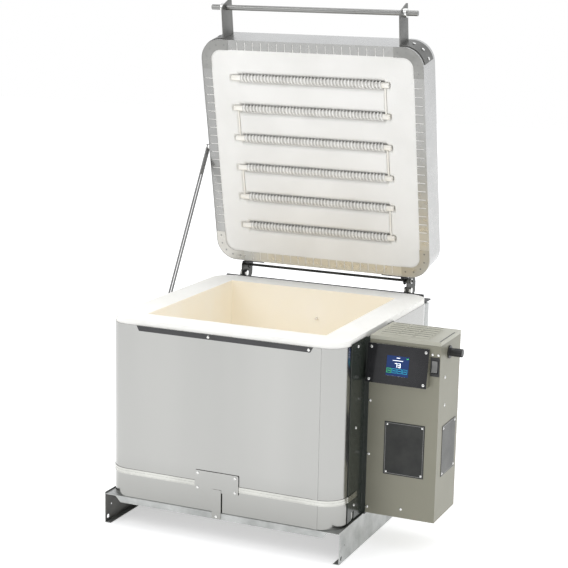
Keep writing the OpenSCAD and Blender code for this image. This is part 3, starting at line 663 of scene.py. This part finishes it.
def board_cells():
    """Lines across the board's face, close together where a groove's depth changes."""
    xs = [RODS[0][0] + d * MM for d in (-8, -6, -4, -2, 0, 3, 6, 9, 12)]
    xs += [RODS[0][1] - d * MM for d in (-8, -6, -4, -2, 0, 3, 6, 9, 12)]
    for end, side in ((coil_low.x, -1), (coil_high.x, 1)):
        xs += [end + side * d * MM for d in (11, 9, 7, 5, 3, 0)]
    for jumper_x, _ in jumpers:
        xs += [jumper_x + d * MM for d in (-6, -4.5, -3, -1.5, 0, 1.5, 3, 4.5, 6)]
    xs += [coil_low.x + (coil_high.x - coil_low.x) * k / COIL_CELLS for k in range(COIL_CELLS + 1)]
    ys = []
    for _, _, rod_y, _ in RODS:
        ys += [rod_y + d * GROOVES["coil"][0] / GROOVE_CELLS for d in range(-GROOVE_CELLS, GROOVE_CELLS + 1)]
        ys += [rod_y + BESIDE_ROD, rod_y - BESIDE_ROD]
    return spaced(xs), spaced(ys)


def board_outline(low, high):
    """A rectangle with round corners, in the plane of the board's face."""
    middle = (low + high) / 2
    reach_x, reach_y = (high.x - low.x) / 2 - BOARD_CORNER, (high.y - low.y) / 2 - BOARD_CORNER
    points = []
    for quarter, (sx, sy) in enumerate(((1, 1), (-1, 1), (-1, -1), (1, -1))):
        for k in range(CORNER_STEPS + 1):
            a = math.pi / 2 * (quarter + k / CORNER_STEPS)
            points.append(Vector((middle.x + sx * reach_x + BOARD_CORNER * math.cos(a),
                                  middle.y + sy * reach_y + BOARD_CORNER * math.sin(a), low.z)))
    return points


def make_board():
    low, high = corners_of(on_shut_lid(frame["nodes"]["lid_board"].data))
    xs, ys = board_cells()
    bm = bmesh.new()
    grid = [[bm.verts.new((x, y, low.z + groove_depth(x, y))) for y in ys] for x in xs]
    for here, there in zip(grid, grid[1:]):
        for j in range(len(ys) - 1):
            bm.faces.new((here[j], here[j + 1], there[j + 1], there[j]))
    inner = grid[0] + [row[-1] for row in grid[1:]] + grid[-1][-2::-1] + [row[0] for row in grid[-2:0:-1]]
    outline = board_outline(low, high)
    front = [bm.verts.new(p) for p in outline]
    rear = [bm.verts.new((p.x, p.y, high.z)) for p in outline]
    border = []
    for loop in (front, inner):
        for a, b in zip(loop, loop[1:] + loop[:1]):
            border.append(bm.edges.get((a, b)) or bm.edges.new((a, b)))
    bmesh.ops.triangle_fill(bm, edges=border, use_beauty=True, normal=(0, 0, -1))
    for k in range(len(front)):
        n = (k + 1) % len(front)
        bm.faces.new((front[k], front[n], rear[n], rear[k]))
    bm.faces.new(rear)
    bmesh.ops.recalc_face_normals(bm, faces=bm.faces)
    mesh = mesh_from(bm, "fibre_board")
    mesh.transform(OPEN_LID)
    stands_for(mesh_object("fibre_board", mesh, MATERIALS["board"]), "lid_board")


make_board()

# Riveted plates on the box: a thin border and a rivet in each corner

PLATE_T = 1.0 * MM
RIVET_IN = 6 * MM
RIVET_R = 2.9 * MM
RIVET_H = 1.6 * MM
BORDER_IN = 2.4 * MM
BORDER_W = 0.8 * MM
BORDER_T = 0.12 * MM
SUNK = 0.05 * MM

rivets = []
borders = []
for plate, out, across in (("front_label", FRONT, RIGHT), ("side_label", RIGHT, BACK)):
    low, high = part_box(plate)
    wide, tall = (high - low).dot(across), high.z - low.z
    corner = Vector((low.x if out == FRONT else high.x, low.y, low.z)) - out * PLATE_T
    for u in (RIVET_IN, wide - RIVET_IN):
        for v in (RIVET_IN, tall - RIVET_IN):
            rivets.append(head(corner + across * u + UP * v, out, RIVET_R, RIVET_H, RIVET_PROFILE))
    inside = BORDER_IN + BORDER_W
    bars = [(BORDER_IN, BORDER_IN, wide - BORDER_IN, inside),
            (BORDER_IN, tall - inside, wide - BORDER_IN, tall - BORDER_IN),
            (BORDER_IN, inside, inside, tall - inside),
            (wide - inside, inside, wide - BORDER_IN, tall - inside)]
    for u0, v0, u1, v1 in bars:
        a = corner + across * u0 + UP * v0 - out * SUNK
        b = corner + across * u1 + UP * v1 + out * BORDER_T
        borders.append(block(*corners_of((a, b))))
extra_piece("plate_rivets", rivets, "screws", "kiln")
extra_piece("plate_borders", borders, "rod_steel", "kiln")

# Flat heads on the lid's corner plates, which clear the rim when the lid is shut

LID_CORNER = 50 * MM
FLANGE_MIDDLE = 13 * MM
PAST_CORNER = 12 * MM
FLAT_HEAD_R = 2.3 * MM
FLAT_HEAD_H = 0.27 * MM
row_r = LID_CORNER - FLANGE_MIDDLE
row_places = [(row_r * math.cos(math.radians(a)), row_r * math.sin(math.radians(a))) for a in (14, 45, 76)]
row_places += [(-PAST_CORNER, row_r), (row_r, -PAST_CORNER)]
corner_rivets = []
for side_x, side_y in ((1, 1), (-1, 1), (-1, -1), (1, -1)):
    round_x = (band_high.x if side_x > 0 else band_low.x) - side_x * LID_CORNER
    round_y = (band_high.y if side_y > 0 else band_low.y) - side_y * LID_CORNER
    for along_x, along_y in row_places:
        seat = Vector((round_x + side_x * along_x, round_y + side_y * along_y, band_low.z + SUNK))
        corner_rivets.append(head(seat, -UP, FLAT_HEAD_R, FLAT_HEAD_H, RIVET_PROFILE))
extra_piece("corner_rivets", corner_rivets, "rod_steel", "lid", OPEN_LID)

# Two screws above the power switch

SWITCH_SCREW_R = 3.0 * MM
SWITCH_SCREW_H = 1.6 * MM
frame_low, frame_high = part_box("switch_frame")
switch_mid_x = (frame_low.x + frame_high.x) / 2
switch_screws = []
for aside in (-6.5 * MM, 6.5 * MM):
    seat = Vector((switch_mid_x + aside, frame_low.y + 1.9 * MM, frame_high.z + 5.5 * MM))
    switch_screws.append(head(seat, FRONT, SWITCH_SCREW_R, SWITCH_SCREW_H, SCREW_PROFILE))
extra_piece("switch_screws", switch_screws, "screws", "kiln")

# A dark joint behind the shell's corner, and painted shade along the louvred cover's edge and in the louvres'
# mouths

SEAM_BACK = 267.5 * MM
SEAM_W = 2.6 * MM
LOUVRE_COLUMNS = 3
LOUVRE_ROWS = 6
LOUVRE_COLUMN_PITCH = 38 * MM
LOUVRE_ROW_PITCH = 18 * MM
LOUVRE_W = 32 * MM
LOUVRE_MOUTH = 1.0 * MM
cover_low, cover_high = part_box("rear_cover")
seam_y = BODY_Y + SEAM_BACK
seam = block(Vector((cover_high.x - 0.4 * MM, seam_y, cover_low.z)),
             Vector((cover_high.x + 0.5 * MM, seam_y + SEAM_W, cover_high.z)))
extra_piece("cover_joints", [seam], "black_plastic", "kiln")

louvre_low, louvre_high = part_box("louvre_cover")
# Painted shade: a dark strip along the louvred cover's right edge
edge_x = louvre_high.x - 6 * MM
edge_z = louvre_high.z - 4.2 * MM
shadows = [block(Vector((edge_x, louvre_low.y + 6 * MM, edge_z - 0.3 * MM)),
                 Vector((edge_x + SEAM_W, louvre_high.y - 30 * MM, edge_z + 0.15 * MM)))]
# Painted shade: a thin dark strip on each hood's top stands for the shade in its mouth
for column in range(LOUVRE_COLUMNS):
    for row in range(LOUVRE_ROWS):
        hood_x = louvre_low.x + 17 * MM + column * LOUVRE_COLUMN_PITCH
        hood_y = louvre_low.y + 25.1 * MM + row * LOUVRE_ROW_PITCH
        shadows.append(block(Vector((hood_x, hood_y, louvre_high.z - 0.5 * MM)),
                             Vector((hood_x + LOUVRE_W, hood_y + LOUVRE_MOUTH, louvre_high.z + 0.1 * MM))))
extra_piece("cover_edge_shadow", shadows, "black_plastic", "kiln")

# Display: a number, bars, keys and a lamp, all generic. Places on it are in millimetres.

screen_low, screen_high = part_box("display_screen")
SCREEN_FACE = (screen_low + screen_high) / 2 + BEZEL_OUT * (0.9 * MM)
STROKE_T = 0.12 * MM
SEGMENTS = {"a": ((0, 1), (1, 1)), "b": ((1, 1), (1, 0.5)), "c": ((1, 0.5), (1, 0)), "d": ((0, 0), (1, 0)),
            "g": ((0, 0.5), (1, 0.5))}
DIGITS = {"7": "abc", "3": "abcdg"}
DIGIT_W = 4.6
DIGIT_H = 8.0
DIGIT_BOTTOM = -2.4
DIGIT_STROKE = 1.2
KEY_COUNT = 4
KEY_LEFT = -23.2
KEY_BOTTOM = -14.8
KEY_W = 9.6
KEY_H = 8.8
KEY_PITCH = 11.9
KEY_STROKE = 0.8
KEY_BAR_STROKE = 1.3


def stroke(start, end, width):
    """A flat bar on the screen with square ends. Its ends are right of the screen's middle and above it."""
    a, b = (SCREEN_FACE + RIGHT * (x * MM) + BEZEL_UP * (y * MM) for x, y in (start, end))
    along = (b - a).normalized() * (width * MM / 2)
    across = along.cross(BEZEL_OUT)
    rise = BEZEL_OUT * STROKE_T
    rows = []
    for end_point in (a - along, b + along):
        low, high = end_point - across, end_point + across
        rows.append([low, high, high + rise, low + rise])
    return grid_mesh("stroke", rows)


def digit(symbol, left):
    parts = []
    for segment in DIGITS[symbol]:
        start, end = ((left + x * DIGIT_W, DIGIT_BOTTOM + y * DIGIT_H) for x, y in SEGMENTS[segment])
        parts.append(stroke(start, end, DIGIT_STROKE))
    return parts


def key(index):
    """A key's outline with a short bar in it."""
    left, top = KEY_LEFT + index * KEY_PITCH, KEY_BOTTOM + KEY_H
    corners = [(left, KEY_BOTTOM), (left + KEY_W, KEY_BOTTOM), (left + KEY_W, top), (left, top)]
    parts = [stroke(start, end, KEY_STROKE) for start, end in zip(corners, corners[1:] + corners[:1])]
    middle = KEY_BOTTOM + KEY_H / 2
    return parts + [stroke((left + KEY_W / 4, middle), (left + KEY_W * 3 / 4, middle), KEY_BAR_STROKE)]


keys = [key(index) for index in range(KEY_COUNT)]
bars = [stroke((-11, 11.6), (11, 11.6), 1.1), stroke((-2.5, 17.4), (3.5, 17.4), 1.4)]
lamp = [stroke((20.4, 16.6), (22.8, 18.0), 1.5), stroke((20.4, 16.6), (19.4, 17.6), 1.3)]
extra_piece("display_number", digit("7", -6.0) + digit("3", 1.4), "white_glow", "kiln")
extra_piece("display_first_key", keys[0], "green_glow", "kiln")
extra_piece("display_keys", sum(keys[1:], []), "cyan_glow", "kiln")
extra_piece("display_lines", bars, "white_glow", "kiln")
extra_piece("display_lamp", lamp, "green_glow", "kiln")

# Floor, lights and world

FLOOR_HALF = 9
FLOOR_GLOW = 0.5
floor_rows = [[Vector((x, y, 0)) for x in (-FLOOR_HALF, FLOOR_HALF)] for y in (-FLOOR_HALF, FLOOR_HALF)]
floor_mat, _, floor_shader = new_material("pale_floor")
floor_shader.inputs["Base Color"].default_value = (0.90, 0.90, 0.90, 1)
floor_shader.inputs["Roughness"].default_value = 0.8
floor_shader.inputs["Specular IOR Level"].default_value = 0.1
glow(floor_shader, (1, 1, 1), FLOOR_GLOW)
floor = mesh_object("floor", grid_mesh("floor", floor_rows, closed_columns=False), floor_mat)

LIGHTS_AIM = Vector((0, 0, 0.5))


def area_light(name, at, size, power):
    data = bpy.data.lights.new(name, "AREA")
    data.energy = power
    data.size = size
    obj = bpy.data.objects.new(name, data)
    obj.location = at
    obj.rotation_euler = (LIGHTS_AIM - Vector(at)).to_track_quat("-Z", "Y").to_euler()
    bpy.context.scene.collection.objects.link(obj)


area_light("key", (-2.2, -2.6, 3.0), 2.0, 34)
area_light("fill", (2.8, -2.2, 2.0), 2.4, 9)
area_light("top", (0.2, 0.4, 3.4), 2.4, 32)

# The sky gives more light from behind than from the front, and the camera sees plain white
SKY_FRONT = 0.60
SKY_BACK = 1.05
world = bpy.data.worlds.new("studio")
bpy.context.scene.world = world
world.use_nodes = True
sky_tree = world.node_tree
sky = sky_tree.nodes["Background"]
sky.inputs["Color"].default_value = (0.97, 0.98, 1.0, 1)
sky_space = sky_tree.nodes.new("ShaderNodeTexCoord").outputs["Generated"]
rearward = along_axis(sky_tree, sky_space, "Y", -0.25, 0.45)
sky_tree.links.new(spread(sky_tree, rearward, SKY_FRONT, SKY_BACK, 0, 1), sky.inputs["Strength"])
white_wall = sky_tree.nodes.new("ShaderNodeBackground")
white_wall.inputs["Color"].default_value = (1, 1, 1, 1)
white_wall.inputs["Strength"].default_value = 1.0
light_path = sky_tree.nodes.new("ShaderNodeLightPath")
either = sky_tree.nodes.new("ShaderNodeMixShader")
sky_tree.links.new(light_path.outputs["Is Camera Ray"], either.inputs["Fac"])
sky_tree.links.new(sky.outputs["Background"], either.inputs[1])
sky_tree.links.new(white_wall.outputs["Background"], either.inputs[2])
sky_tree.links.new(either.outputs["Shader"], sky_tree.nodes["World Output"].inputs["Surface"])
bpy.context.scene.view_settings.view_transform = "Standard"
